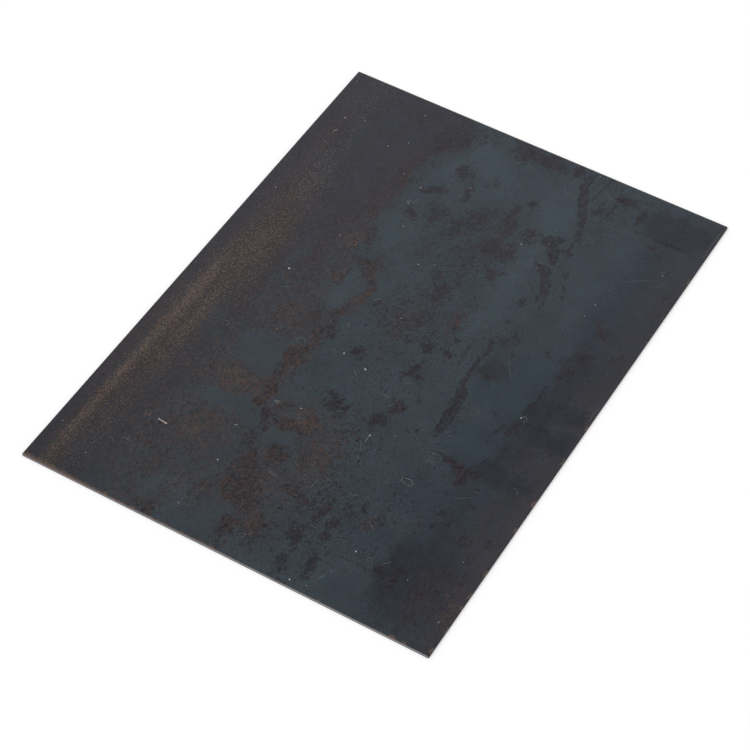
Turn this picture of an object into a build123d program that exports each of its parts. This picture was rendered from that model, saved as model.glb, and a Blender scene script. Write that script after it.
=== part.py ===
from build123d import *
import os

# Flat plate of hot-rolled steel, cut to size on a shear.
# X is the rolling direction and the length, Y the width and Z the thickness.
# The origin is the centre of the underside. Sizes are in millimetres.

# Overall sizes
plate_length = 297.0
plate_width = 210.0
plate_thickness = 1.5

# Sheared edge, from the top down: a rounded rollover where the blade came in,
# an upright burnished land, and a fracture that leans inwards to the underside
rollover_radius = 0.2
land_height = 0.45
fracture_height = plate_thickness - rollover_radius - land_height
fracture_angle = 6.0

# Upright corners, only just blunted
corner_radius = 0.3


def sheared_blank():
    """Plan outline of the plate as a face at the foot of the burnished land."""
    return Plane.XY.offset(fracture_height) * RectangleRounded(
        plate_length, plate_width, corner_radius
    )


def upper_band(blank):
    """Land and rollover: straight walls with the top rim rolled over."""
    straight = extrude(blank, amount=land_height + rollover_radius, dir=(0, 0, 1))
    top_rim = straight.faces().sort_by(Axis.Z)[-1].edges()
    return fillet(top_rim, rollover_radius)


def fracture_band(blank):
    """Broken part of the edge, which narrows from the land down to the underside."""
    return extrude(blank, amount=fracture_height, dir=(0, 0, -1), taper=fracture_angle)


def steel_plate():
    """The whole plate as one solid."""
    blank = sheared_blank()
    return upper_band(blank) + fracture_band(blank)


os.makedirs("parts", exist_ok=True)
export_step(steel_plate(), "parts/steel_plate.step")
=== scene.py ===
"""Looks of a flat sheet of hot-rolled steel that lies on a pale floor.

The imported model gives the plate. This script dresses it with its mill scale, rust and
sheared edges, and lays the lint and dust on it that such a sheet gathers. Lengths are in
metres, and names that end in _mm are in millimetres. A place on the top face is given in
millimetres from the middle of the plate: x along its length, y across its width.
"""

import logging
import math
from dataclasses import dataclass
from enum import Enum
from typing import Sequence, Union

import bmesh
import bpy
from mathutils import Matrix, Vector


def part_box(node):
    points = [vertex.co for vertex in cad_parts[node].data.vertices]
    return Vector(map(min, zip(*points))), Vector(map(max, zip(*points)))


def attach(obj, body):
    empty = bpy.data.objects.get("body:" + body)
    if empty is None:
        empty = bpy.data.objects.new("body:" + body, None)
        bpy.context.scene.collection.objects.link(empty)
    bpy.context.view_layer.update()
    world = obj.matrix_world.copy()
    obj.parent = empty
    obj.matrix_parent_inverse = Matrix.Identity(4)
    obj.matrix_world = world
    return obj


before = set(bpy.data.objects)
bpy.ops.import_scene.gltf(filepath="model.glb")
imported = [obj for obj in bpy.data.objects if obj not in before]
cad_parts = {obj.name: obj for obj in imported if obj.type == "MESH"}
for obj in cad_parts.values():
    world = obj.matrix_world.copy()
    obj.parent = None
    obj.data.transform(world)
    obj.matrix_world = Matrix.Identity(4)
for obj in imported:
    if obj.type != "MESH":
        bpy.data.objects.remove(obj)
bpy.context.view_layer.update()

MM = 0.001
FAR_MM = 1.0e6
PLATE_NODE = "steel_plate"
ROOT_BODY = "root"

Socket = bpy.types.NodeSocket
Colour = tuple[float, float, float]
Value = Union[float, Colour, Socket]

log = logging.getLogger("steel_plate")


@dataclass(frozen=True)
class Patch:
    """An oval place on the top face, in millimetres and degrees.

    Args:
        x, y: its middle.
        length, width: half its size along and across its own direction.
        strength: 1 makes the outline run where the oval does; less breaks it up.
        turn: how far that direction is turned from the plate's length.
    """

    x: float
    y: float
    length: float
    width: float
    strength: float = 1.0
    turn: float = 0.0


def patches(*rows: tuple[float, ...]) -> tuple[Patch, ...]:
    """Patches from rows of their values in order, which may end early."""
    return tuple(Patch(*row) for row in rows)


class Graph:
    """Adds nodes to a shader tree and links them, one call for each step."""

    def __init__(self, tree: bpy.types.NodeTree) -> None:
        """Works on that tree."""
        self.tree = tree

    def add(self, kind: str, *values: Value, **settings: object) -> bpy.types.Node:
        """Adds one node.

        Args:
            kind: the node's type name.
            values: what its first inputs are fed with, in order.
            settings: the node's own properties.

        Returns:
            The node.
        """
        node = self.tree.nodes.new(kind)
        for name, value in settings.items():
            setattr(node, name, value)
        for socket, value in zip(node.inputs, values):
            self.feed(socket, value)
        return node

    def feed(self, socket: Socket, value: Value) -> None:
        """Links a socket to another one, or sets its plain value.

        Args:
            socket: the input that is fed.
            value: what it is fed with.
        """
        if isinstance(value, bpy.types.NodeSocket):
            self.tree.links.new(value, socket)
        elif isinstance(value, tuple) and socket.type == "RGBA":
            socket.default_value = (*value, 1.0)
        else:
            socket.default_value = value

    def fill(self, node: bpy.types.Node, values: dict[str, Value]) -> None:
        """Feeds a node's inputs by their names."""
        for name, value in values.items():
            self.feed(node.inputs[name], value)

    def math(self, operation: str, *values: Value) -> Socket:
        """Math node on up to three values; returns its result."""
        return self.add("ShaderNodeMath", *values, operation=operation).outputs[0]

    def times(self, first: Value, second: Value) -> Socket:
        """Product of two numbers."""
        return self.math("MULTIPLY", first, second)

    def vector(self, operation: str, *values: Value) -> Socket:
        """Vector Math node; returns its vector, or its number for a length."""
        node = self.add("ShaderNodeVectorMath", *values, operation=operation)
        return node.outputs["Value" if operation == "LENGTH" else "Vector"]

    def step(self, value: Value, low: Value, high: Value,
             to_low: float = 0.0, to_high: float = 1.0) -> Socket:
        """Smooth step of a value, from to_low where it is low to to_high where it is high."""
        values = (value, low, high, to_low, to_high)
        return self.add("ShaderNodeMapRange", *values, interpolation_type="SMOOTHSTEP").outputs[0]

    def noise(self, place: Socket, size: Value, detail: Value, roughness: Value,
              offset: float = 0.0) -> bpy.types.Node:
        """Cloudy noise.

        Args:
            place: where it is read.
            size: size of its largest clouds, in the unit of the place.
            detail: how many finer layers it has.
            roughness: how strong the finer layers are.
            offset: picks another stretch of the same noise.

        Returns:
            The noise node, with its Fac and Color outputs.
        """
        node = self.add("ShaderNodeTexNoise", noise_dimensions="3D", normalize=True)
        shifted = self.vector("ADD", place, (offset, 0.0, offset)) if offset else place
        scale = self.math("DIVIDE", 1.0, size)
        self.fill(node, {
            "Vector": shifted, "Scale": scale, "Detail": detail, "Roughness": roughness,
        })
        return node

    def mix(self, factor: Value, first: Value, second: Value, blend: str = "MIX") -> Socket:
        """Mix of two colours.

        Args:
            factor: share of the second colour.
            first, second: the colours.
            blend: the node's blend type.

        Returns:
            The mixed colour.
        """
        node = self.add("ShaderNodeMix", factor, data_type="RGBA", blend_type=blend)
        colour_inputs = [socket for socket in node.inputs if socket.type == "RGBA"]
        self.feed(colour_inputs[0], first)
        self.feed(colour_inputs[1], second)
        return next(socket for socket in node.outputs if socket.type == "RGBA")

    def blend(self, factor: Value, first: Value, second: Value) -> Socket:
        """Mix of two numbers.

        Args:
            factor: share of the second number.
            first, second: the numbers.

        Returns:
            The mixed number.
        """
        node = self.add("ShaderNodeMix", factor, data_type="FLOAT")
        self.feed(node.inputs[2], first)
        self.feed(node.inputs[3], second)
        return node.outputs[0]

    def patches(self, place: Socket, patches: Sequence[Patch], reach: float = 1.5) -> Socket:
        """Highest value of many patches at a place.

        The patches are worked out one after the other, and the place's height carries the
        highest value so far, so that few numbers are held at once.

        Args:
            place: the place in millimetres, with a height of 0.
            patches: the patches.
            reach: a patch fades to nothing at this many times its size.

        Returns:
            A value that passes 0.5 at the outline of a patch of strength 1.
        """
        carried = place
        slope = 0.5 / (reach - 1.0)
        for patch in patches:
            distance = self.vector("LENGTH", self._centred(carried, patch))
            scale = patch.strength * slope
            fall = (0.0, 0.0, -scale)
            value = self.vector("MULTIPLY_ADD", distance, fall, (-FAR_MM, -FAR_MM, scale * reach))
            carried = self.vector("MAXIMUM", carried, value)
        return self.add("ShaderNodeSeparateXYZ", carried).outputs["Z"]

    def _centred(self, place: Socket, patch: Patch) -> Socket:
        """Place as a patch sees it: 0 in its middle and 1 away on its outline.

        Args:
            place: the place in millimetres; its height comes out as good as 0.
            patch: the patch.

        Returns:
            The place in the patch's own measure.
        """
        if patch.turn == 0.0:
            shrink = (1.0 / patch.length, 1.0 / patch.width, 1.0 / FAR_MM)
            shift = (-patch.x / patch.length, -patch.y / patch.width, 0.0)
            return self.vector("MULTIPLY_ADD", place, shrink, shift)
        mapping = self.add("ShaderNodeMapping", vector_type="TEXTURE")
        self.fill(mapping, {
            "Vector": place,
            "Location": (patch.x, patch.y, 0.0),
            "Rotation": (0.0, 0.0, math.radians(patch.turn)),
            "Scale": (patch.length, patch.width, FAR_MM),
        })
        return mapping.outputs["Vector"]

    def spots(self, place: Socket, size: float, density: Value, softness: float, detail: float,
              roughness: float, offset: float = 0.0) -> Socket:
        """Grains or spots that stand closer where a density is high.

        Args:
            place: where they are read.
            size: their size, in the unit of the place.
            density: how much of the surface they cover, 0 to 1.
            softness: how soft their outline is.
            detail, roughness: the finer layers of their outline.
            offset: picks other spots of the same kind.

        Returns:
            The mask, 1 on a spot.
        """
        node = self.add("ShaderNodeGroup", node_tree=SpotGroup.tree())
        shifted = self.vector("ADD", place, (offset, offset, offset)) if offset else place
        self.fill(node, {
            "Place": shifted, "Size": size, "Density": density, "Softness": softness,
            "Detail": detail, "Roughness": roughness,
        })
        return node.outputs["Mask"]


def new_material(name: str) -> tuple[bpy.types.Material, Graph, bpy.types.Node]:
    """Starts a material.

    Args:
        name: the material's name.

    Returns:
        The material, the graph of its tree and its Principled BSDF.
    """
    material = bpy.data.materials.new(name)
    material.use_nodes = True
    return material, Graph(material.node_tree), material.node_tree.nodes["Principled BSDF"]


def new_mesh(name: str, shape: bmesh.types.BMesh,
             material: bpy.types.Material) -> bpy.types.Mesh:
    """Turns a shape, which is used up, into a mesh of one material.

    Args:
        name: the mesh's name.
        shape: the shape.
        material: the material.

    Returns:
        The mesh.
    """
    mesh = bpy.data.meshes.new(name)
    shape.to_mesh(mesh)
    shape.free()
    mesh.materials.append(material)
    return mesh


def new_object(name: str, data: bpy.types.ID) -> bpy.types.Object:
    """Puts a mesh, a lamp or a camera into the scene; returns its object."""
    made = bpy.data.objects.new(name, data)
    bpy.context.scene.collection.objects.link(made)
    return made


def direction(azimuth_deg: float, height_deg: float) -> Vector:
    """Unit vector at an azimuth, counted from +X towards +Y, and a height over the horizon."""
    azimuth, height = math.radians(azimuth_deg), math.radians(height_deg)
    level = Vector((math.cos(azimuth), math.sin(azimuth), 0.0)) * math.cos(height)
    return level + Vector((0.0, 0.0, math.sin(height)))


class SpotGroup:
    """Shader group of grains or spots that stand closer where a density is high."""

    NAME = "spots"
    BARE_LEVEL = 0.70
    FULL_LEVEL = 0.30
    INPUTS = ("Size", "Density", "Softness", "Detail", "Roughness")

    @classmethod
    def tree(cls) -> bpy.types.NodeTree:
        """Makes the group's tree the first time that it is asked for.

        Returns:
            The tree.
        """
        known = bpy.data.node_groups.get(cls.NAME)
        if known:
            return known
        tree = bpy.data.node_groups.new(cls.NAME, "ShaderNodeTree")
        tree.interface.new_socket("Place", in_out="INPUT", socket_type="NodeSocketVector")
        for name in cls.INPUTS:
            tree.interface.new_socket(name, in_out="INPUT", socket_type="NodeSocketFloat")
        tree.interface.new_socket("Mask", in_out="OUTPUT", socket_type="NodeSocketFloat")
        graph = Graph(tree)
        given = graph.add("NodeGroupInput").outputs
        result = graph.add("NodeGroupOutput").inputs
        noise = graph.noise(given["Place"], given["Size"], given["Detail"], given["Roughness"])
        span = cls.FULL_LEVEL - cls.BARE_LEVEL
        threshold = graph.math("MULTIPLY_ADD", given["Density"], span, cls.BARE_LEVEL)
        low = graph.math("SUBTRACT", threshold, given["Softness"])
        high = graph.math("ADD", threshold, given["Softness"])
        graph.feed(result["Mask"], graph.step(noise.outputs["Fac"], low, high))
        return tree


@dataclass(frozen=True)
class Tint:
    """A colour that lies softly over some patches of the skin.

    Args:
        colour: the colour.
        share: how much of the skin it covers at most.
        low, high: the patches' values between which it comes in.
        patches: where it lies.
    """

    colour: Colour
    share: float
    low: float
    high: float
    patches: tuple[Patch, ...]


# Tints of the scale, and where each lies on the top face
PALE = Tint((0.035, 0.0475, 0.0585), 0.8, 0.1, 1.1, patches(
    (118, 18, 28, 22), (62, -31, 48, 7), (110, -30, 24, 12), (60, 28, 16, 14), (14, 34, 16, 6),
    (-133, 38, 14, 10), (35, 14, 34, 12, 0.5), (-146, -20, 6, 50, 0.6), (-138, -48, 16, 14, 1.1),
    (130, 45, 24, 20, 0.5), (-138, 20, 12, 12, 0.6),
))
DULL = Tint((0.021, 0.027, 0.033), 0.6, 0.1, 1.1, patches(
    (14, -50, 26, 7), (44, -58, 24, 8, 0.7), (-125, -14, 20, 10, 0.6), (-90, -36, 20, 8, 0.5),
))
SLATE = Tint((0.017, 0.0235, 0.0345), 0.9, 0.05, 1.15, patches(
    (-60, -77, 105, 14, 1.1), (70, -84, 75, 14, 0.85), (-38, 66, 30, 6, 0.5),
))
LOBES = Tint((0.019, 0.029, 0.041), 0.8, 0.25, 0.75, patches(
    (-138, -54, 13, 16, 0.5), (-105, -50, 14, 13, 0.8), (-75, -54, 17, 12, 0.8), (-37, -61, 13, 13.5),
    (-6, -60, 11, 16), (14.5, -66.5, 12, 11),
))
LOW_PURPLE = Tint((0.0225, 0.021, 0.027), 0.9, 0.1, 0.95, patches(
    (0, -115, 240, 27), (-75, -96, 30, 10), (-32, -91, 11, 12), (18, -98, 15, 10), (-124, -101, 16, 4),
))
NAVY = Tint((0.0085, 0.011, 0.0175), 0.9, 0.0, 1.1, patches(
    (-118, -72, 16, 10, 1.2), (-117, -82, 24, 10, 0.9), (-85, -78, 30, 5, 0.55), (-48, -82, 8, 9, 0.95),
    (-36, -80, 12, 3, 0.8), (-48, -95, 7, 10, 0.8), (-18, -92, 8, 16, 1.1), (-5, -82, 12, 6),
    (1, -93, 6, 13), (-33, -84, 10, 6, 0.5), (24, -84, 20, 7, 0.7), (-52, -68, 4, 9, 0.8),
    (4, -87, 50, 8, 0.5),
))
LOW_BROWN = Tint((0.0155, 0.0155, 0.0225), 0.75, 0.0, 1.2, patches(
    (-120, -89, 24, 10), (-110, -95, 14, 7, 0.7),
))
BLOCK = Tint((0.0135, 0.0165, 0.0215), 0.85, 0.2, 0.8, patches(
    (131, -87, 10, 17, 1.1), (132, -67, 6, 4, 0.9), (136, -58, 4, 8, 0.6), (6, -52, 8, 9, 0.95),
))
PURPLE = Tint((0.024, 0.022, 0.0285), 0.9, 0.15, 0.85, patches(
    (0, 109, 230, 33), (10, 69, 50, 7, 0.45), (95, 63, 66, 19, 1.1, -4), (134, 46, 24, 15),
    (25, 58, 34, 10, 0.45), (142, 88, 30, 30),
))
DUSK = Tint((0.0185, 0.0165, 0.0215), 0.7, 0.1, 1.1, patches(
    (-125, 80, 38, 14), (-75, 72, 70, 6, 0.7), (-5, 70, 50, 5, 0.7), (-135, 102.5, 22, 3),
    (-80, 103, 40, 2.5, 0.8), (126, 43, 16, 6, 0.6, -12), (95, 48, 20, 5, 0.4),
))
TAN_GROUND = Tint((0.03, 0.0225, 0.0235), 0.9, 0.15, 0.8, patches(
    (-60, 86.5, 56, 11, 0.8), (-120, 94, 50, 5, 0.8), (15, 83.5, 50, 14, 0.8),
))
WARM_RIM = Tint((0.034, 0.0275, 0.031), 0.85, 0.1, 0.9, patches(
    (75, 95, 90, 6, 0.5), (-50, 101.5, 75, 4, 0.7),
))
PALE_RIM = Tint((0.031, 0.0295, 0.0365), 0.85, 0.1, 0.9, patches(
    (-85, -104.5, 50, 5), (0, -105, 240, 3, 0.5), (142, 98, 16, 8, 0.8),
))
SKIN = (
    PALE, DULL, SLATE, LOBES, LOW_PURPLE, NAVY, LOW_BROWN, BLOCK, PURPLE, DUSK, TAN_GROUND,
    WARM_RIM, PALE_RIM,
)

# Oxidised patches, where the blue skin is broken or gone
BROWN = patches(
    (-110, 12, 17, 11, 0.72, 20), (-100, 16, 8, 6, 0.85), (-118, 14, 5, 5, 0.9), (-137, 5, 11, 5, 0.8),
    (-128, -4, 12, 6, 0.75), (-118, 2, 9, 6, 0.75), (-89, 7, 8, 4, 0.75), (-103, -13, 4, 13, 0.9),
    (-105, -26, 8, 3.5, 1.1), (-122, -22, 6, 8, 0.7), (-119, -35, 4, 4, 0.85), (-109, -35, 5, 4, 0.85),
    (-134, -36, 6, 3, 1.1, 10), (-138, -27, 9, 3, 0.6), (-86, -4, 13, 5, 0.6), (-80, -15, 22, 9, 0.4),
    (-95, -41, 3.5, 3.5, 0.8), (-100, -50, 7, 3.5, 0.8, -15), (-95, -20, 50, 30, 0.36),
    (-90, -50, 60, 16, 0.2), (-124, 26, 9, 5, 0.55), (-88, 22, 12, 6, 0.5), (-142, 42, 6, 7, 0.6),
    (-122, 53, 12, 8, 0.35), (-107, 62, 11, 8, 0.45), (-91, 47, 11, 12, 0.35), (-68, 60, 14, 8, 0.35),
    (-59, 47, 9, 14, 0.4), (-62, 32, 12, 3.5, 0.95, 10), (-38, 32, 14, 3.2, 0.95, -4),
    (-13, 28, 14, 4.5, 0.68, -8), (-73, 22, 7, 4, 1, 40), (-71, 8, 4, 9, 0.9), (-64, 5, 5, 5, 0.7),
    (-49, 3, 5, 5, 0.75), (-53, -4, 7, 3, 0.8), (-16, 50, 14, 9, 0.4), (-10, 39, 12, 4, 0.5),
    (-16, 8, 4, 3, 0.8), (-19, 4, 3, 2, 0.7), (14, 52, 17, 7, 0.35), (48, 41, 12, 8, 0.5),
    (33, 34, 5, 8, 0.66), (16, 24, 10, 2.5, 0.8), (29, 28, 7, 3.5, 0.72, 15), (2, 28, 9, 4, 0.7),
    (22, 40, 7, 3, 0.65), (13, 15, 4, 4, 0.7), (15, 4, 14, 8, 0.5), (63, 47, 16, 5, 0.4),
    (95, 45, 13, 6, 0.5), (125, 41, 20, 6, 0.5, -8), (133, 33, 15, 7, 0.5, -25),
    (136, 25, 10, 5, 0.5, -25), (111, 22, 10, 6, 0.7, -20), (112, 8, 6, 6, 0.5), (79, 21, 10, 7, 0.62),
    (94, 30, 4.5, 5, 0.8), (76, 31, 4, 3, 0.7), (78, 8, 11, 7, 0.6), (90, 1, 14, 6, 0.7),
    (55, 13, 16, 10, 0.28), (101, 14, 8, 2.2, 0.9, -10), (142, 3, 8, 8, 0.8), (142, -9, 6, 10, 0.8),
    (40, -2, 12, 6, 0.5), (38, -6, 6, 2.8, 0.95), (17, -5, 3, 4, 0.85), (3, -19, 3, 5, 0.95),
    (4, -29, 3.5, 2.6, 0.95), (24, -22, 8, 3, 0.95, 8), (16, -28, 2, 4, 0.8), (74, -15, 7, 8, 0.85),
    (93, -13, 15, 5, 0.75, 5), (75, -23, 9, 4, 0.7), (60, -22, 5, 3.5, 0.95, 20), (92, -26, 5, 6, 0.75),
    (112, -18, 3.5, 2.5), (143, -25, 5, 3, 0.8), (65, -8, 50, 20, 0.35), (20, -10, 38, 24, 0.37),
    (-61, 20, 8, 4, 0.5), (-47, -20, 5, 4, 1.15), (-36, -24, 4, 5, 1.1, 15), (-14, -20, 6.5, 2.4),
    (-17, -25, 3.5, 3, 0.7), (-64, -18, 2, 2), (-60, -14, 18, 12, 0.4), (-52.5, -66, 2.6, 5, 1.3, 5),
    (-56, -71, 5, 3, 1.1, 10), (-50, -74, 3, 3.5, 1, 10), (-122, -64, 3.5, 4, 1.1),
    (-120, -71, 8, 2.5, 0.9), (-122, -86, 30, 16, 0.33), (132, -86, 14, 20, 0.22), (4, -50, 6, 6, 0.5),
    (27, -48, 9, 6, 0.35), (125, -48, 24, 14, 0.3), (-40, 14, 30, 10, 0.2), (-88, -88, 4, 4, 0.6),
    (-85, -99, 4, 3, 0.6), (-20, -76, 5, 3, 0.8), (21, -83, 6, 4, 0.6), (33, -85, 7, 5, 0.55),
    (27, -77, 3, 2.5, 0.8), (54, -83.5, 4, 2), (113, -83.5, 2.5, 3), (115.5, -79, 1.8, 2.5, 0.9),
    (43, -98, 3, 4, 0.7), (90, -100, 5, 3, 0.7), (137, -54, 2.5, 4, 0.9), (-67, -68, 2, 2.4, 0.8),
    (-89, -66, 1.6, 1.6, 0.7), (-87, -74, 2, 1.4, 0.7), (-77, -73, 2, 3, 0.7), (-34, -69, 1.6, 1.4, 0.7),
    (-47, -37, 2.4, 3, 0.7), (-27, -32, 2, 1.2, 0.7), (-17, -66, 1.6, 1.6, 0.6),
    (-83, -79, 2.4, 1.6, 0.7), (28, -52, 2, 1.6, 0.8), (36, -43, 2, 1.4, 0.8), (28, -43, 1.6, 1.2, 0.7),
    (20, -55, 1.6, 1.2, 0.7), (30, -68, 4, 3, 0.5), (3, -67, 2, 2, 0.5), (44, -71, 1.4, 1.2, 0.6),
    (53, -94, 1.4, 1.4, 0.7), (108, -82, 1.6, 1.2, 0.7), (-70, -82, 1.6, 3, 0.6),
    (-62, -81, 2, 1.4, 0.5),
)

# Stretches freckled with orange grains
FRECKLED = patches(
    (-88, 52, 66, 26), (-14, 54, 34, 20), (-6, 37, 20, 7), (-112, 8, 36, 22, 0.7), (-66, 10, 14, 16),
    (-40, 31, 36, 6), (-82, -8, 28, 12, 0.65), (28, 52, 44, 13, 0.8), (16, 27, 26, 6),
    (74, 52, 40, 14, 0.9), (-126, -88, 30, 16, 0.36), (-124, -100, 14, 4, 1.1),
    (-143.5, -101, 3, 2, 1.5), (-114, -86, 16, 10, 0.3), (25, -20, 14, 7, 0.5), (10, 0, 26, 12, 0.5),
    (85, -14, 34, 14, 0.3), (128, 38, 24, 12, 0.3),
)

# Stretches where those grains stand close
HOT = patches(
    (-60, 48, 11, 18, 0.8), (-93, 48, 14, 14, 0.7), (-123, 25, 16, 8, 0.5), (-80, -9, 24, 10, 0.45),
    (-66, 6, 6, 10, 0.8), (-42, 32, 28, 4, 0.35), (-13, 50, 14, 10, 0.6), (20, 41, 18, 5, 0.7),
    (45, 46, 9, 7, 0.9), (16, 24.5, 12, 3, 0.7), (31, 34, 5, 7, 0.7), (24, -22, 9, 3.5, 0.6),
    (-100, -49, 9, 4), (-36, -25, 3, 5, 0.6), (44, -52, 2, 4, 1.2), (-128, -3, 10, 6, 0.5),
    (-104, 6, 8, 8, 0.3), (-52, -70, 7, 7, 0.4), (-113, -86, 14, 8, 0.15), (-124, -100, 12, 4, 0.5),
)

# Fine tan grain along the left long side
TAN_BAND = patches(
    (-80, 94.5, 100, 3.4, 0.95), (-120, 92, 60, 5, 0.62), (-30, 93, 62, 6, 0.95), (-38, 84, 56, 8, 0.74),
    (-112, 84, 50, 9, 0.55), (20, 78, 170, 20, 0.24), (14, 84.5, 50, 15, 0.7), (62, 84.5, 50, 15, 0.6),
    (120, 87, 60, 14, 0.42), (60, 98, 100, 6, 0.34),
)

# Stretches where the blue skin is whole and smooth
CLEAN = patches(
    (-74, 42, 6, 15), (-76, 31, 5, 5), (-40, 46, 10, 12), (12, 33, 17, 6, 0.65), (-133, 46, 9, 5, 0.45),
    (-132, 14, 8, 5, 0.9), (-143, 22, 5, 9, 0.6), (-80, 13, 7, 7, 0.9), (-58, 16, 8, 4, 0.6),
    (61, 34, 9, 10, 0.9), (84, 34, 8, 8, 0.9), (105, 31, 7, 10, 0.9), (117, 34, 5, 6, 0.9),
    (103, 5, 10, 8, 0.9), (129, 13, 10, 13, 1, -20), (122, -10, 13, 12, 0.7), (108, -32, 12, 8, 0.9),
    (50, -32, 32, 5, 0.9), (38, -14, 16, 3, 0.6), (-76, -38, 22, 12, 0.5), (-45, -35, 14, 6, 0.7),
    (-138, -54, 11, 16, 0.8), (-36, -62, 13, 11, 0.95), (-5, -62, 10, 12, 0.9), (14, -67, 12, 10),
    (75, -68, 40, 12, 0.85), (-32, 12, 14, 10, 0.45), (30, 18, 16, 4, 0.7), (-75, -98, 28, 8, 0.7),
    (90, -100, 60, 10, 0.8), (100, 66, 50, 14, 0.8), (0, 104, 150, 3, 0.8),
)

# Thick flakes of scale
FLAKES = patches(
    (-35, -47, 6, 1.6, 1, 12), (-27, -47.3, 8, 2.2, 1, 4), (-17, -46.8, 7, 2.4, 1, 12),
    (-8, -43.8, 7, 0.9, 1, 5), (3, -43, 7, 1.1, 1, 2), (12, -43.8, 6, 0.9, 1, -6),
    (20, -43, 3.6, 1.5, 1, 20), (59, -48.3, 5, 1.4, 1, 4), (68, -46, 8, 2.2, 1, 22),
    (75.5, -41, 2.2, 5, 1, -12), (94.5, -36.5, 5.6, 3.2, 0.9, -50), (88, -40, 5, 3.4, 0.9, 25),
    (83.5, -42.5, 3.2, 2, 1, 20), (91, -46.5, 1.6, 3), (104, -45.2, 4.2, 1.8, 1, 5), (96, -46, 3, 0.8),
    (51, -43, 3, 2, 0.9), (65, -57.3, 2, 0.9), (69.5, -55.6, 2, 0.9), (77, -52.5, 2.2, 1, 1, 20),
    (115, -42, 5, 1.9, 1, 18), (121, -39, 5.5, 2.2, 1, 26), (128, -36, 5.5, 2.7, 1, 26),
    (134, -33.4, 4.5, 1.9, 1, 12), (141.5, -32.6, 3.6, 2.2, 1, -10), (124.5, -46.5, 3.4, 2, 1, -30),
    (-109, -66.2, 5.5, 1.1, 1, 14), (2, -77.8, 9, 1, 1, 4), (131, -66, 4.5, 1.4), (137, -54, 2, 4),
)

# Cracks and thin dark lines
CRACKS = patches(
    (-122.5, -52, 0.5, 10, 0.8, 2), (-50.5, -57, 0.7, 5, 0.9, -8), (-30, -45.2, 9, 0.5, 1, 8),
    (-14, -43.4, 8, 0.5, 1, 10), (-27, -49.4, 9, 0.4, 1, 2), (-22, -46.8, 8, 0.35, 1, 6),
    (-36, -53, 0.5, 4, 0.8, 20), (128, -51.6, 9, 0.45, 1, -5), (140, -41.5, 10, 0.45, 1, -8),
    (121.8, -84, 0.45, 14, 0.8), (121.5, -68, 0.45, 4, 0.6), (141, -60, 0.5, 9, 0.8, 6),
    (10, -35.5, 14, 0.4, 0.7, 3), (60, -50.4, 9, 0.4, 1, 10), (-14, -84, 0.4, 8, 0.8),
    (-4, -77, 7, 0.5, 1, -8), (-24, -70.5, 4, 0.6, 0.9, -25), (-44, -74.2, 4, 0.6, 0.8, -15),
    (107, -56, 5, 0.4, 0.5, 30), (100, -48.5, 0.6, 0.6),
)

# Pale scratch marks, and two painted highlights along the rim of the -Y side
SCRATCHES_AND_RIM_HIGHLIGHTS = patches(
    (93, -84, 8.6, 0.35, 0.9, -54), (10, -58.5, 5, 0.35, 1, 33), (97, -94, 3.4, 0.3, 1, -20),
    # The first two marks on this line are painted highlights along the rim of the -Y side.
    (134, -103.6, 9, 0.4), (6, -103.6, 7, 0.4), (31, 70, 2.2, 0.35, 1, 50),
    (-133, -46, 6, 0.35, 0.6, -40), (136, -46, 4, 0.35, 0.7, 60), (-91, -52, 4, 0.3, 0.6, 75),
    (-22, 17.5, 1.6, 0.35, 0.8, 10), (15, 17, 0.35, 1.4, 0.8),
)

# Stretches with fine pale dust
DUSTY = patches(
    (-112, -18, 34, 28), (-100, -48, 34, 14, 0.8), (-132, 32, 18, 12, 0.8), (-62, -14, 22, 12, 0.8),
    (-28, -10, 20, 18, 0.8), (-20, -35, 30, 8, 0.5), (70, -10, 50, 20, 0.4),
)

# Tan rust on the rims of the -Y side and of the -X end
RUSTY_RIMS = tuple(
    Patch(x, -104.8, 2.0, 0.6)
    for x in (-145, -133, -119, -112, -98, -70, -53, -25, -2, 60, 104)
) + tuple(
    Patch(-148.3, y, 0.9, length)
    for y, length in ((61, 2.4), (47, 1.8), (6, 4), (-50, 1), (-80, 1.6), (-87, 1.8), (-92.5, 1.2))
)


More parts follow.
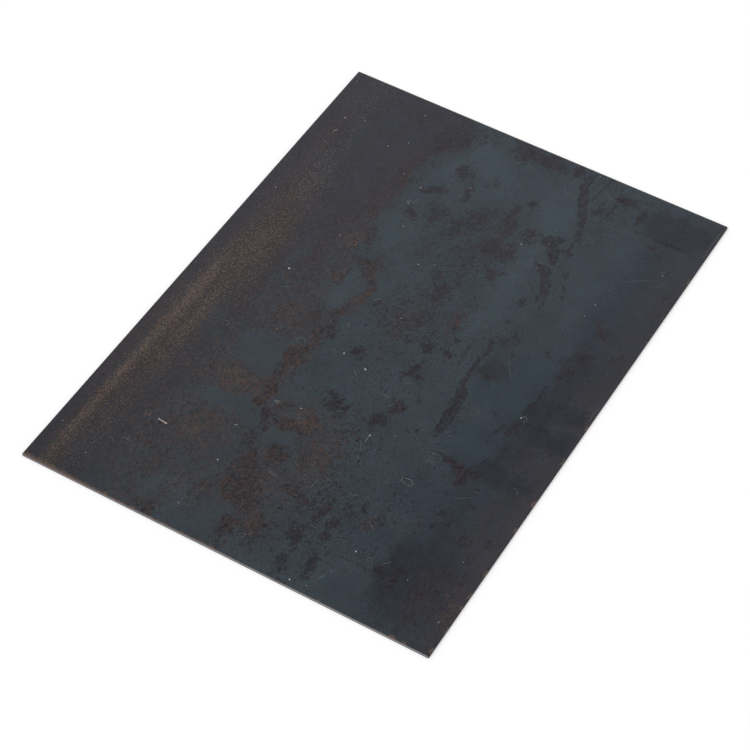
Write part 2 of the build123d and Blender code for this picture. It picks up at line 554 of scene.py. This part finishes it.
class MillScale(Graph):
    """Finish of the plate: blue-grey scale, brown patches, rust and sheared edges.

    Its lengths are in millimetres. Its sockets say where a point lies: solid in full, drawn
    squeezed so that spots read there are drawn out by rolling, flat without a height, ragged
    shaken by fine clouds, and shaken by coarse clouds as well. x, y and z are the three
    numbers, and top is 1 on the top face and 0 lower down.
    """

    LAND_FOOT_MM = 0.85
    RIM_MM = 0.16
    BLUE = (0.0272, 0.0372, 0.0465)
    BROWN_LEFT = (0.013, 0.012, 0.018)
    BROWN_RIGHT = (0.0255, 0.0195, 0.0235)
    DARK_LEFT = (0.003, 0.002, 0.005)
    DARK_RIGHT = (0.012, 0.009, 0.014)
    RED_RUST = (0.048, 0.025, 0.021)
    ORANGE_RUST = (0.084, 0.053, 0.039)
    VEIL = (0.019, 0.0175, 0.024)
    TAN = (0.13, 0.094, 0.073)
    BLACK = (0.001, 0.001, 0.002)
    DUST = (0.1, 0.112, 0.12)
    RIM_RUST = (0.11, 0.075, 0.057)
    BARE_LAND = (0.23, 0.226, 0.238)
    # Fracture of the end cuts: bare steel made as pale as the land, as painted light over the shade at
    # the foot of the cut.
    BARE_FRACTURE_WITH_PAINTED_LIGHT = (0.23, 0.226, 0.243)
    # Cuts along the sides, near black: painted shade, for sides that face away from the light.
    SHADED_CUT = (0.008, 0.006, 0.008)

    def __init__(self, tree: bpy.types.NodeTree, low: Vector, high: Vector) -> None:
        """Works out where a point of the plate lies.

        Args:
            tree: the material's tree.
            low, high: the corners of the plate's box.
        """
        super().__init__(tree)
        self.half_length = (high.x - low.x) / 2 / MM
        self.half_width = (high.y - low.y) / 2 / MM
        thickness = (high.z - low.z) / MM
        coordinate = self.add("ShaderNodeTexCoord").outputs["Object"]
        self.solid = self.vector("MULTIPLY", coordinate, (1.0 / MM, 1.0 / MM, 1.0 / MM))
        self.x, self.y, self.z = self.add("ShaderNodeSeparateXYZ", self.solid).outputs
        self.flat = self.vector("MULTIPLY", self.solid, (1.0, 1.0, 0.0))
        coarse = self.noise(self.solid, 11.0, 2.0, 0.5).outputs["Color"]
        coarse_shift = self.vector("MULTIPLY_ADD", coarse, (15.0, 13.0, 0.0), (-7.5, -6.5, 0.0))
        fine = self.noise(self.solid, 2.6, 5.0, 0.72, offset=40.0).outputs["Color"]
        fine_shift = self.vector("MULTIPLY_ADD", fine, (8.0, 6.0, 0.0), (-4.0, -3.0, 0.0))
        self.ragged = self.vector("ADD", self.flat, fine_shift)
        self.drawn = self.vector("MULTIPLY", self.solid, (1.0, 1.35, 1.0))
        self.shaken = self.vector("ADD", self.ragged, coarse_shift)
        self.top = self.step(self.z, thickness - 0.35, thickness - 0.15)

    def dress(self, shader: bpy.types.Node) -> None:
        """Works out the finish and feeds it to the shader.

        Args:
            shader: the material's Principled BSDF.
        """
        clouds = self.noise(self.solid, 14.0, 6.0, 0.62, offset=7.0).outputs["Fac"]
        grain = self.noise(self.solid, 0.9, 2.0, 0.6, offset=3.0).outputs["Fac"]
        clean = self.step(self._field(CLEAN), 0.1, 1.1)
        oxide_share, oxide, colour = self._oxide(clean, self._skin(clouds))
        colour = self._tone(grain, self._marks(oxide, colour))
        end_cut, long_cut, colour = self._edges(grain, colour)
        land = self._land()
        skin_roughness = self.step(clouds, 0.3, 0.7, 0.42, 0.54)
        roughness = self.blend(oxide_share, skin_roughness, 0.68)
        roughness = self.blend(long_cut, roughness, 0.6)
        cut_roughness = self.blend(land, 0.55, 0.34)
        bump = self.add("ShaderNodeBump")
        height = self.math("ADD", grain, clouds)
        self.fill(bump, {"Strength": 0.4, "Distance": 0.02 * MM, "Height": height})
        self.fill(shader, {
            "Base Color": colour,
            "Roughness": self.blend(end_cut, roughness, cut_roughness),
            "Metallic": self.times(end_cut, 0.8),
            "Specular IOR Level": 0.2,
            "Normal": bump.outputs["Normal"],
        })

    def _field(self, patches: Sequence[Patch]) -> Socket:
        """Value of broad patches, which are on the top face only."""
        return self.times(self.patches(self.shaken, patches), self.top)

    def _land(self) -> Socket:
        """1 on the upright land of a cut and above it, 0 on the fracture."""
        return self.step(self.z, self.LAND_FOOT_MM - 0.02, self.LAND_FOOT_MM + 0.02)

    def _skin(self, clouds: Socket) -> Socket:
        """Colour of the unbroken scale.

        Args:
            clouds: soft clouds, 0 to 1.

        Returns:
            The colour.
        """
        skin = self.mix(0.0, self.BLUE, self.BLUE)
        mottle = self.noise(self.drawn, 6.0, 8.0, 0.75, offset=-97.0).outputs["Fac"]
        mottle = self.step(mottle, 0.4, 0.58, 0.7, 1.0)
        for tint in SKIN:
            share = self.step(self._field(tint.patches), tint.low, tint.high, 0.0, tint.share)
            skin = self.mix(self.times(share, mottle), skin, tint.colour)
        return self.mix(1.0, skin, self.step(clouds, 0.3, 0.7, 0.88, 1.12), "MULTIPLY")

    def _oxide(self, clean: Socket, skin: Socket) -> tuple[Socket, Socket, Socket]:
        """Brown patches, their small islands and the rust grains in and round them.

        Args:
            clean: 1 where the skin is whole.
            skin: the skin's colour.

        Returns:
            The share of oxide, the oxide's own colour and the colour of all of it.
        """
        freckled = self.step(self._field(FRECKLED), 0.05, 0.75)
        hot = self.step(self._field(HOT), 0.0, 1.2)
        open_share = self.math("SUBTRACT", 1.0, clean)
        veil_density = self.times(self.times(freckled, open_share), 0.5)
        veil = self.spots(self.drawn, 3.5, veil_density, 0.06, 8.0, 0.85, -83.0)
        colour = self.mix(self.times(veil, 0.7), skin, self.VEIL)

        density = self.step(self._field(BROWN), -0.15, 1.25, 0.22, 0.66)
        density = self.math("MULTIPLY_ADD", clean, -0.17, density)
        patch = self.spots(self.drawn, 3.6, density, 0.025, 8.0, 0.82)
        island = self.spots(self.drawn, 1.5, density, 0.05, 4.0, 0.7, 71.0)
        right = self.step(self.x, -40.0, 60.0)
        patch = self.times(patch, self.blend(right, 0.85, 0.75))
        island = self.times(island, self.blend(right, 0.65, 0.7))
        share = self.math("MAXIMUM", patch, island)
        brown = self.mix(right, self.BROWN_LEFT, self.BROWN_RIGHT)
        dark = self.mix(right, self.DARK_LEFT, self.DARK_RIGHT)
        speckle = self.spots(self.drawn, 2.0, 0.5, 0.08, 4.0, 0.78, 13.0)
        oxide = self.mix(speckle, brown, dark)
        warm = self.math("MAXIMUM", self.times(freckled, 0.6), hot)
        rust_colour = self.mix(warm, self.RED_RUST, self.ORANGE_RUST)
        rust_density = self.math("MULTIPLY_ADD", warm, 0.16, 0.33)
        rust = self.spots(self.drawn, 1.9, rust_density, 0.07, 4.0, 0.78, 31.0)
        oxide = self.mix(self.times(rust, self.blend(right, 0.6, 0.4)), oxide, rust_colour)
        colour = self.mix(share, colour, oxide)

        density = self.math("MULTIPLY_ADD", freckled, 0.26, 0.1)
        density = self.math("MULTIPLY_ADD", hot, 0.16, density)
        density = self.math("MULTIPLY_ADD", clean, -0.17, density)
        freckle = self.spots(self.drawn, 1.5, density, 0.06, 4.0, 0.8, -19.0)
        freckle = self.times(freckle, self.blend(right, 0.62, 0.45))
        colour = self.mix(freckle, colour, rust_colour)

        density = self.step(self._field(DUSTY), 0.0, 1.2, 0.0, 0.22)
        dust = self.spots(self.solid, 0.9, density, 0.05, 2.0, 0.6, -61.0)
        return share, oxide, self.mix(self.times(dust, 0.35), colour, self.DUST)

    def _marks(self, oxide: Socket, colour: Socket) -> Socket:
        """Adds the band of tan grains, thick flakes, cracks, pale scratch marks and painted highlights
        along the -Y rim.

        Args:
            oxide: the colour of the oxide.
            colour: the colour so far.

        Returns:
            The colour with the marks.
        """
        band = self.times(self.patches(self.ragged, TAN_BAND, 1.9), self.top)
        density = self.math("MULTIPLY_ADD", band, 0.66, -0.04)
        grains = self.spots(self.drawn, 0.95, density, 0.06, 3.0, 0.7, 23.0)
        colour = self.mix(self.times(grains, 0.66), colour, self.TAN)

        field = self.times(self.patches(self.ragged, FLAKES), self.top)
        broken = self.spots(self.solid, 2.4, 0.72, 0.14, 4.0, 0.7, -43.0)
        share = self.times(self.step(field, 0.42, 0.6), broken)
        flake = self.mix(0.35, oxide, self.DARK_RIGHT)
        colour = self.mix(self.times(share, 0.8), colour, flake)
        rim_distance = self.math("ABSOLUTE", self.math("SUBTRACT", field, 0.5))
        outline = self.step(rim_distance, 0.0, 0.2, 1.0, 0.0)
        outline = self.times(self.times(outline, broken), 0.8)
        cracks = self.patches(self.ragged, CRACKS, 2.0)
        cracks = self.times(self.step(cracks, 0.1, 0.6, 0.0, 0.8), self.top)
        line = self.math("MAXIMUM", outline, self.times(cracks, broken))
        colour = self.mix(self.times(line, 0.65), colour, self.BLACK)
        # Pale scratch marks, and painted highlights along the -Y rim, in the colour of dust.
        scratches_and_rim_highlights = self.patches(self.flat, SCRATCHES_AND_RIM_HIGHLIGHTS, 2.0)
        scratches_and_rim_highlights = self.times(self.step(scratches_and_rim_highlights, 0.2, 0.7, 0.0, 0.2), self.top)
        return self.mix(scratches_and_rim_highlights, colour, self.DUST)

    def _tone(self, grain: Socket, colour: Socket) -> Socket:
        """Lays fine grain over everything, and a paler tone towards +X.

        Args:
            grain: fine grain, 0 to 1.
            colour: the colour so far.

        Returns:
            The toned colour.
        """
        grain_tone = self.step(grain, 0.25, 0.75, 0.84, 1.16)
        along = self.math("MULTIPLY_ADD", self.x, 0.10 / self.half_length, 1.0)
        tone = self.times(grain_tone, along)
        hues = self.noise(self.solid, 3.0, 3.0, 0.8, offset=-29.0).outputs["Color"]
        tint = self.vector("MULTIPLY_ADD", hues, (0.5, 0.35, 0.5), (0.75, 0.825, 0.75))
        return self.mix(1.0, self.mix(1.0, colour, tone, "MULTIPLY"), tint, "MULTIPLY")

    def _edges(self, grain: Socket, colour: Socket) -> tuple[Socket, Socket, Socket]:
        """Adds rusty rims, bare cuts at the ends with painted light on their fracture, and painted shade
        on the cuts along the sides.

        Args:
            grain: fine grain, 0 to 1.
            colour: the colour so far.

        Returns:
            The share of the end cuts, the share of the long cuts and the colour.
        """
        from_left = self.math("ADD", self.x, self.half_length)
        upper = self.step(self.y, 55.0, 95.0, 0.0, 0.95)
        width = self.math("ADD", upper, self.step(self.y, -10.0, 10.0, 0.3, 0.7))
        width = self.times(width, self.step(grain, 0.3, 0.7, 0.4, 1.6))
        rim = self.step(self.math("DIVIDE", from_left, width), 0.6, 1.3, 0.85, 0.0)
        spots = self.patches(self.ragged, RUSTY_RIMS, 1.6)
        rim = self.math("MAXIMUM", rim, self.step(spots, 0.3, 0.8, 0.0, 0.8))
        from_right = self.math("SUBTRACT", self.half_length, self.x)
        rim = self.math("MAXIMUM", rim, self.step(from_right, 0.2, 0.8, 0.5, 0.0))
        colour = self.mix(self.times(rim, self.top), colour, self.RIM_RUST)

        end_cut, long_cut = (
            self.step(
                self.math("SUBTRACT", half, self.math("ABSOLUTE", number)),
                self.RIM_MM * 0.2, self.RIM_MM * 0.5, 1.0, 0.0,
            )
            for half, number in ((self.half_length, self.x), (self.half_width, self.y))
        )
        # Painted shade: the cuts along the sides are darkened nearly to black.
        colour = self.mix(long_cut, colour, self.SHADED_CUT)
        land = self._land()
        # The fracture below the land is bare steel with painted light, as pale as the land.
        bare = self.mix(land, self.BARE_FRACTURE_WITH_PAINTED_LIGHT, self.BARE_LAND)
        density = self.step(self.y, -20.0, self.half_width, 0.25, 0.85)
        stain = self.spots(self.solid, 5.0, density, 0.1, 5.0, 0.7, 57.0)
        stain = self.times(stain, self.blend(land, 0.15, 0.5))
        bare = self.mix(stain, bare, self.RIM_RUST)
        return end_cut, long_cut, self.mix(end_cut, colour, bare)


@dataclass
class SteelPlate:
    """The plate itself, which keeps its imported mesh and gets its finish."""

    node: str = PLATE_NODE

    def dress(self) -> bpy.types.Object:
        """Gives the plate its scale.

        Returns:
            The plate's object.
        """
        low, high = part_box(self.node)
        material, graph, shader = new_material("hot_rolled_scale")
        MillScale(graph.tree, low, high).dress(shader)
        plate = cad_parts[self.node]
        for slot in plate.material_slots:
            slot.material = material
        return plate


@dataclass(frozen=True)
class DullFinish:
    """Finish of a small dull thing, such as a fibre or a speck, mottled by two tones.

    Args:
        name: the material's name.
        colour: its main colour.
        second: the colour of its spots.
        spot_mm: size of the spots.
    """

    name: str
    colour: Colour
    second: Colour
    spot_mm: float = 2.0

    def build(self) -> bpy.types.Material:
        """Builds the material.

        Returns:
            The material.
        """
        material, graph, shader = new_material(self.name)
        coordinate = graph.add("ShaderNodeTexCoord").outputs["Object"]
        place = graph.vector("MULTIPLY", coordinate, (1.0 / MM, 1.0 / MM, 1.0 / MM))
        spots = graph.spots(place, self.spot_mm, 0.5, 0.1, 3.0, 0.6)
        colour = graph.mix(spots, self.colour, self.second)
        graph.fill(shader, {"Base Color": colour, "Roughness": 0.8, "Specular IOR Level": 0.2})
        return material


@dataclass(frozen=True)
class Fibre:
    """A fibre that lies on the plate, in millimetres and degrees.

    Args:
        x, y: where it starts.
        thickness: its diameter.
        heading: the way it starts out, turned from the plate's length.
        bends: its arcs in order, each a radius and an angle, to the left if positive.
    """

    x: float
    y: float
    thickness: float
    heading: float
    bends: tuple[tuple[float, float], ...]

    def add_to(self, shape: bmesh.types.BMesh, floor: float) -> None:
        """Spins the fibre as a closed tube.

        Args:
            shape: the mesh that it is added to.
            floor: height of the plate's face, in metres.
        """
        radius = self.thickness / 2 * MM
        heading = math.radians(self.heading)
        centre = Vector((self.x * MM, self.y * MM, floor + radius))
        turned = Matrix.Rotation(heading, 4, "Z") @ Matrix.Rotation(math.radians(90.0), 4, "Y")
        verts = bmesh.ops.create_circle(
            shape, cap_ends=True, segments=6, radius=radius,
            matrix=Matrix.Translation(centre) @ turned,
        )["verts"]
        end = list({face for vert in verts for face in vert.link_faces})
        end += list({edge for vert in verts for edge in vert.link_edges})
        end += verts
        for bend_mm, angle_deg in self.bends:
            side = math.copysign(1.0, angle_deg)
            angle = math.radians(angle_deg)
            across = Vector((-math.sin(heading), math.cos(heading), 0.0)) * side
            middle = centre + across * (bend_mm * MM)
            end = bmesh.ops.spin(
                shape, geom=end, cent=middle, axis=(0.0, 0.0, 1.0), angle=angle,
                steps=max(2, round(abs(angle_deg) / 12.0)), use_duplicate=False, use_merge=False,
            )["geom_last"]
            centre = middle + Matrix.Rotation(angle, 3, "Z") @ (centre - middle)
            heading += angle


def fibres(*rows: tuple) -> tuple[Fibre, ...]:
    """Fibres from rows of their values in order, with the arcs one after another."""
    return tuple(Fibre(*row[:4], row[4:]) for row in rows)


@dataclass(frozen=True)
class Speck:
    """A grain of dust on the plate: its place, its size and its turn.

    Args:
        x, y: its place in millimetres.
        length, width: its size in millimetres; it is half as high as it is wide.
        turn: its direction in degrees.
    """

    x: float
    y: float
    length: float
    width: float
    turn: float = 0.0

    def add_to(self, shape: bmesh.types.BMesh, floor: float) -> None:
        """Adds the grain as a squashed sphere.

        Args:
            shape: the mesh that it is added to.
            floor: height of the plate's face, in metres.
        """
        height = self.width * 0.5
        size = Matrix.Diagonal((self.length / 2, self.width / 2, height / 2, 1.0))
        lean = Matrix.Rotation(math.radians(self.turn * 7.0 + 20.0), 4, (1.0, 1.0, 1.0))
        turned = Matrix.Rotation(math.radians(self.turn), 4, "Z")
        centre = Vector((self.x * MM, self.y * MM, floor + height / 2 * MM))
        scale = Matrix.Diagonal((MM, MM, MM, 1.0))
        bmesh.ops.create_icosphere(
            shape, subdivisions=2, radius=1.0,
            matrix=Matrix.Translation(centre) @ scale @ turned @ size @ lean,
        )


def specks(*rows: tuple[float, ...]) -> tuple[Speck, ...]:
    """Specks from rows of their values in order, which may end early."""
    return tuple(Speck(*row) for row in rows)


FINE_FIBRES = fibres(
    (-71.6, -47.6, 0.11, -115, (4, -20), (3.2, 75), (1.3, 110), (3.6, 70), (2, -60)),
    (-70.4, -47.4, 0.11, 140, (1, 80), (1.6, -70)),
    (-99.5, 5.6, 0.12, -60, (2.4, -50), (3.5, 30), (1.4, -60)),
    (-98.2, 5.8, 0.1, -110, (6, 30), (3, -30)), (-26.8, 34.2, 0.08, 80, (1.9, -190), (2.4, -60)),
    (-136.5, -4.4, 0.09, 40, (1.8, -120), (1.4, 90)), (-134.4, -2.6, 0.09, -60, (2, -80)),
    (-97.5, -15.3, 0.1, -4, (22, 8), (12, -14)), (-89, -17.2, 0.09, -50, (1.6, -70), (2, 60)),
    (-73.5, -27.6, 0.08, 10, (2.6, 70), (3, -60)), (-66.5, -23.5, 0.08, 60, (3, -50), (2.5, 70)),
    (-118.6, -57.2, 0.11, 60, (1.2, -150), (1.6, -100)), (-116.5, -64, 0.09, -60, (6, 20), (2.4, 40)),
    (-22.6, 18.2, 0.12, 10, (3, -40)), (-6.5, 19.4, 0.1, 60, (2, -90)),
    (-13.8, -78.2, 0.11, -70, (1.6, 150), (1.4, 60)), (-21.6, -20.6, 0.09, -80, (3, 30), (2, -60)),
    (81, 34.6, 0.11, -60, (2, 60), (1.6, -80)), (15, 18.2, 0.1, -80, (2.4, 60), (1.6, -60)),
    (-144.5, 35, 0.07, 70, (2, -60), (2, 80)), (-138, -44, 0.07, -40, (5, 30), (2, -60)),
    (-132, -47.5, 0.07, 40, (3, 40), (3, -40)), (44, -46.6, 0.08, -60, (2, 60)),
    (72, -28.6, 0.09, -30, (2, 50)), (103.2, -90.8, 0.09, -70, (2, 60), (3, -20)),
    (-0.8, 60, 0.07, -70, (8, 30)), (46, 104, 0.07, -110, (9, 20)),
    (-100.5, 69, 0.1, 20, (3, -60), (2, 70)), (-117, 72, 0.09, -80, (4, 30)),
    (-38, -21, 0.08, -50, (3, 60), (2, -80)), (-102, 70, 0.08, 5, (4, 40), (2, -70)),
    (-103.5, 67.5, 0.07, -10, (6, 30)), (-120, 77.5, 0.07, -60, (2, -90), (1.5, 80)),
    (-114.8, 71, 0.08, -100, (3, -50), (1.5, 90)), (-3.8, 20, 0.08, -170, (2, 70)),
    (-25.8, 4.4, 0.07, -160, (6, 50)), (-32.6, -14.4, 0.08, -115, (5, 30), (1.5, -80)),
    (-53.5, -2.5, 0.09, 0, (1.6, -100), (1.2, 60)), (-64, -28.6, 0.07, -20, (5, 35)),
    (-7.5, 28.5, 0.08, -15, (8, 22)), (-35, 68.5, 0.07, -40, (1.5, 120), (1.5, 60)),
    (-90.6, -31.4, 0.08, -120, (2.5, 70), (1.5, -60)), (-76.4, -41.6, 0.09, -60, (1.5, -80)),
    (-80, -50.2, 0.1, -110, (1.5, -60)), (-60.8, -79, 0.08, -95, (6, 30)),
    (-68.5, -72.5, 0.06, -75, (12, 40)), (-50, -92.4, 0.08, -60, (2, -110), (1, 60)),
    (-51.5, -51.8, 0.09, -60, (4, -40), (2, 40)), (-37.6, -50.4, 0.08, -90, (2, 60), (1.4, -80)),
    (-39, -53, 0.08, -40, (2, -80)), (-57, -51.6, 0.08, -30, (1.8, -70), (1.5, 50)),
    (-51.4, -32.2, 0.13, -85, (3, 30)), (-100.6, -48.6, 0.09, -150, (3, 40), (2, -50)),
)

THICK_FIBRES = fibres(
    (-61.8, -22.6, 0.14, 15, (5, -30), (2, 60)), (-57.4, -23.2, 0.3, 75, (2.4, 25)),
    (-63.4, 22.6, 0.17, 30, (1.6, 70), (1.2, -60)), (-62.6, 24.2, 0.18, -20, (1.4, -80)),
    (-84.4, 32.8, 0.18, -30, (1.4, -60)), (79, 35.4, 0.13, 40, (3, 30)),
    (80.2, 37.2, 0.16, -70, (2.4, -40)), (80.8, 36.2, 0.14, -20, (1.6, 60)),
    (102.8, 92.8, 0.17, 30, (2, -60), (1.2, -50)),
)

WHITE_SPECKS = specks(
    (11.3, 62.6, 1.2, 1.1, 20), (-105.5, 28.5, 0.8, 0.7), (-133, 81, 0.45, 0.4, 30),
    (-21.2, 12.6, 0.9, 0.8), (-24.5, -0.8, 0.95, 0.85, 50), (-145, -33.8, 0.8, 0.75),
    (-117, -50.6, 0.8, 0.7, 10), (-144, -41.5, 0.4, 0.35), (46.5, 11.3, 0.55, 0.5),
    (84.4, -24.5, 0.9, 0.6, 10), (64.6, 30, 0.5, 0.45), (92, 36, 0.6, 0.6), (105, 15, 0.4, 0.4),
    (54.6, 97, 0.7, 0.5, 40), (115, 93.3, 0.65, 0.55, 15), (109, 64.6, 0.5, 0.45),
    (116.2, 56.9, 0.6, 0.5, 25), (138, 59.6, 0.6, 0.45, 5), (68, -73.3, 0.5, 0.4, 10),
    (59, -72.2, 0.35, 0.35), (80, -74.8, 0.3, 0.3), (-12.2, -76.3, 0.8, 0.7), (-118.5, -77.5, 0.4, 0.35),
    (-130.8, -99.8, 0.45, 0.35), (-97.5, -93.4, 0.35, 0.3), (102, -92.3, 0.6, 0.4, 60),
    (-52.2, -32.6, 0.3, 0.25), (72.2, -29.3, 0.35, 0.3), (101.5, -34.6, 0.4, 0.35),
    (146, -36, 0.45, 0.4), (-116.8, 69.4, 0.4, 0.3), (-123, 100.4, 0.4, 0.35), (-135, 30, 0.5, 0.5),
    (50, 4.6, 0.5, 0.5), (12, 1, 0.45, 0.45), (28.5, -35.8, 0.3, 0.3), (28.6, -30.6, 0.3, 0.25),
    (64, -32, 0.3, 0.25), (96, 47.8, 0.45, 0.4), (141.5, 102, 0.6, 0.3, 70), (-8.5, 103, 0.4, 0.35),
)

AMBER_SPECKS = specks(
    (-60.2, 12.2, 0.9, 0.8, 30), (-24.6, 47.2, 0.75, 0.65), (43, 53.4, 0.6, 0.55),
    (41.4, 43.6, 0.75, 0.65), (-41.4, 28.4, 0.5, 0.5), (-6.8, 88, 0.75, 0.6, 60),
    (118.2, 83.6, 0.8, 0.6, 20), (95, 93, 0.5, 0.5), (91.4, -36, 0.55, 0.5), (74.5, -38.4, 0.5, 0.5),
    (82, -45.3, 0.5, 0.45), (73, 102.8, 0.6, 0.35, 10),
)


@dataclass(frozen=True)
class Splinter:
    """A flat pale splinter of wood, in millimetres and degrees."""

    x: float = -99.7
    y: float = 61.8
    length: float = 5.2
    width: float = 0.75
    height: float = 0.3
    turn: float = 83.0

    def add_to(self, shape: bmesh.types.BMesh, floor: float) -> None:
        """Adds the splinter as a tapered stick with one end cut slantwise.

        Args:
            shape: the mesh that it is added to.
            floor: height of the plate's face, in metres.
        """
        centre = Vector((self.x * MM, self.y * MM, floor + self.height / 2 * MM))
        turned = Matrix.Rotation(math.radians(self.turn), 4, "Z")
        scale = Matrix.Diagonal((self.length * MM, self.width * MM, self.height * MM, 1.0))
        made = bmesh.ops.create_cube(
            shape, size=1.0, matrix=Matrix.Translation(centre) @ turned @ scale
        )
        along = turned @ Vector((1.0, 0.0, 0.0))
        across = turned @ Vector((0.0, 1.0, 0.0))
        for vert in made["verts"]:
            reach = (vert.co - centre).dot(along)
            side = (vert.co - centre).dot(across)
            if reach > 0.0:
                vert.co -= across * (side * 0.45)
                vert.co -= along * (side * 0.9)
        edges = list({edge for vert in made["verts"] for edge in vert.link_edges})
        bmesh.ops.bevel(
            shape, geom=edges, offset=0.07 * MM, segments=1, profile=0.5,
            affect="EDGES", material=-1,
        )


class Litter(Enum):
    """Kinds of small things that lie on the plate, each with its finish and its parts."""

    FINE_LINT = (DullFinish("fine_lint", (0.17, 0.2, 0.21), (0.26, 0.28, 0.27)), FINE_FIBRES)
    THICK_LINT = (DullFinish("thick_lint", (0.26, 0.29, 0.3), (0.5, 0.47, 0.4)), THICK_FIBRES)
    WHITE_DUST = (DullFinish("white_dust", (0.5, 0.55, 0.56), (0.34, 0.38, 0.4)), WHITE_SPECKS)
    AMBER_DUST = (DullFinish("amber_dust", (0.36, 0.3, 0.22), (0.24, 0.18, 0.12)), AMBER_SPECKS)
    SPLINTER = (DullFinish("pale_wood", (0.42, 0.4, 0.38), (0.3, 0.26, 0.23), 1.0), (Splinter(),))

    def lay(self, floor: float) -> None:
        """Makes the piece, which rides on the plate.

        Args:
            floor: height of the plate's face, in metres.
        """
        finish, parts = self.value
        shape = bmesh.new()
        for part in parts:
            part.add_to(shape, floor)
        bmesh.ops.recalc_face_normals(shape, faces=shape.faces)
        mesh = new_mesh(self.name.lower(), shape, finish.build())
        mesh.shade_smooth()
        piece = new_object(mesh.name, mesh)
        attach(piece, ROOT_BODY)
        log.info("made %s from %d parts", piece.name, len(parts))


@dataclass(frozen=True)
class PaleFloor:
    """Finish of the floor: white where it is seen, pale to the light and clear from below."""

    colour: Colour = (0.8, 0.8, 0.8)
    glow: float = 0.22

    def build(self) -> bpy.types.Material:
        """Builds the material.

        Returns:
            The material.
        """
        material, graph, shader = new_material("pale_floor")
        glow = graph.times(seen_share(graph), self.glow)
        underside = graph.add("ShaderNodeNewGeometry").outputs["Backfacing"]
        graph.fill(shader, {
            "Base Color": self.colour,
            "Roughness": 0.9,
            "Specular IOR Level": 0.0,
            "Emission Color": (1.0, 1.0, 1.0),
            "Emission Strength": glow,
            "Alpha": graph.math("SUBTRACT", 1.0, underside),
        })
        return material


def seen_share(graph: Graph) -> Socket:
    """Share of rays that show a background: seen directly, mirrored or through glass.

    Args:
        graph: the graph of the tree that it is read in.

    Returns:
        1 for such a ray, 0 for any other.
    """
    rays = graph.add("ShaderNodeLightPath").outputs
    mirrored = graph.math("MAXIMUM", rays["Is Glossy Ray"], rays["Is Transmission Ray"])
    return graph.math("MAXIMUM", rays["Is Camera Ray"], mirrored)


@dataclass(frozen=True)
class Studio:
    """Pale floor, white surroundings and one soft lamp."""

    floor_size: float = 12.0
    dome_strength: float = 0.55
    key_strength: float = 1.75
    key_softness_deg: float = 50.0
    key_azimuth_deg: float = 165.0
    key_height_deg: float = 52.0

    def build(self) -> None:
        """Makes the floor, the surroundings and the lamp."""
        self._floor()
        self._surroundings()
        self._key_lamp()

    def _floor(self) -> None:
        """Lays a large flat floor under the plate."""
        shape = bmesh.new()
        bmesh.ops.create_grid(shape, x_segments=1, y_segments=1, size=self.floor_size / 2)
        new_object("floor", new_mesh("floor", shape, PaleFloor().build()))

    def _surroundings(self) -> None:
        """Makes the surroundings white where they show, and evenly pale as a light."""
        world = bpy.data.worlds.new("studio")
        world.use_nodes = True
        graph = Graph(world.node_tree)
        background = world.node_tree.nodes["Background"]
        background.inputs["Color"].default_value = (1.0, 1.0, 1.0, 1.0)
        strength = graph.blend(seen_share(graph), self.dome_strength, 1.0)
        graph.feed(background.inputs["Strength"], strength)
        bpy.context.scene.world = world

    def _key_lamp(self) -> None:
        """Hangs one lamp on the side of the bright end, as soft as a large diffuser."""
        lamp = bpy.data.lights.new("key", "SUN")
        lamp.energy = self.key_strength
        lamp.angle = math.radians(self.key_softness_deg)
        key = new_object("key", lamp)
        towards = direction(self.key_azimuth_deg, self.key_height_deg)
        key.rotation_mode = "QUATERNION"
        key.rotation_quaternion = towards.to_track_quat("Z", "Y")


@dataclass(frozen=True)
class Camera:
    """Camera that looks down on the plate."""

    azimuth_deg: float = -151.549
    height_deg: float = 49.379
    roll_deg: float = 2.525
    distance: float = 1.1801
    aim_x: float = -0.02495
    aim_y: float = -0.00628
    lens_mm: float = 122.40
    sensor_mm: float = 36.0

    def build(self) -> None:
        """Makes the camera and makes it the scene's own."""
        data = bpy.data.cameras.new("camera")
        data.lens = self.lens_mm
        data.sensor_width = self.sensor_mm
        data.clip_start = 0.01
        data.clip_end = 100.0
        camera = new_object("camera", data)
        back = direction(self.azimuth_deg, self.height_deg)
        aim = Vector((self.aim_x, self.aim_y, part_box(PLATE_NODE)[1].z))
        turned = (-back).to_track_quat("-Z", "Y").to_matrix().to_4x4()
        roll = Matrix.Rotation(math.radians(self.roll_deg), 4, "Z")
        camera.matrix_world = Matrix.Translation(aim + back * self.distance) @ turned @ roll
        bpy.context.scene.camera = camera


def main() -> None:
    """Builds the scene in order and reports each piece."""
    logging.basicConfig(level=logging.INFO, format="%(message)s")
    bpy.context.scene.view_settings.view_transform = "Standard"
    Camera().build()
    Studio().build()
    plate = SteelPlate().dress()
    log.info("dressed %s", plate.name)
    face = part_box(PLATE_NODE)[1].z
    for kind in Litter:
        kind.lay(face)


if __name__ == "__main__":
    main()
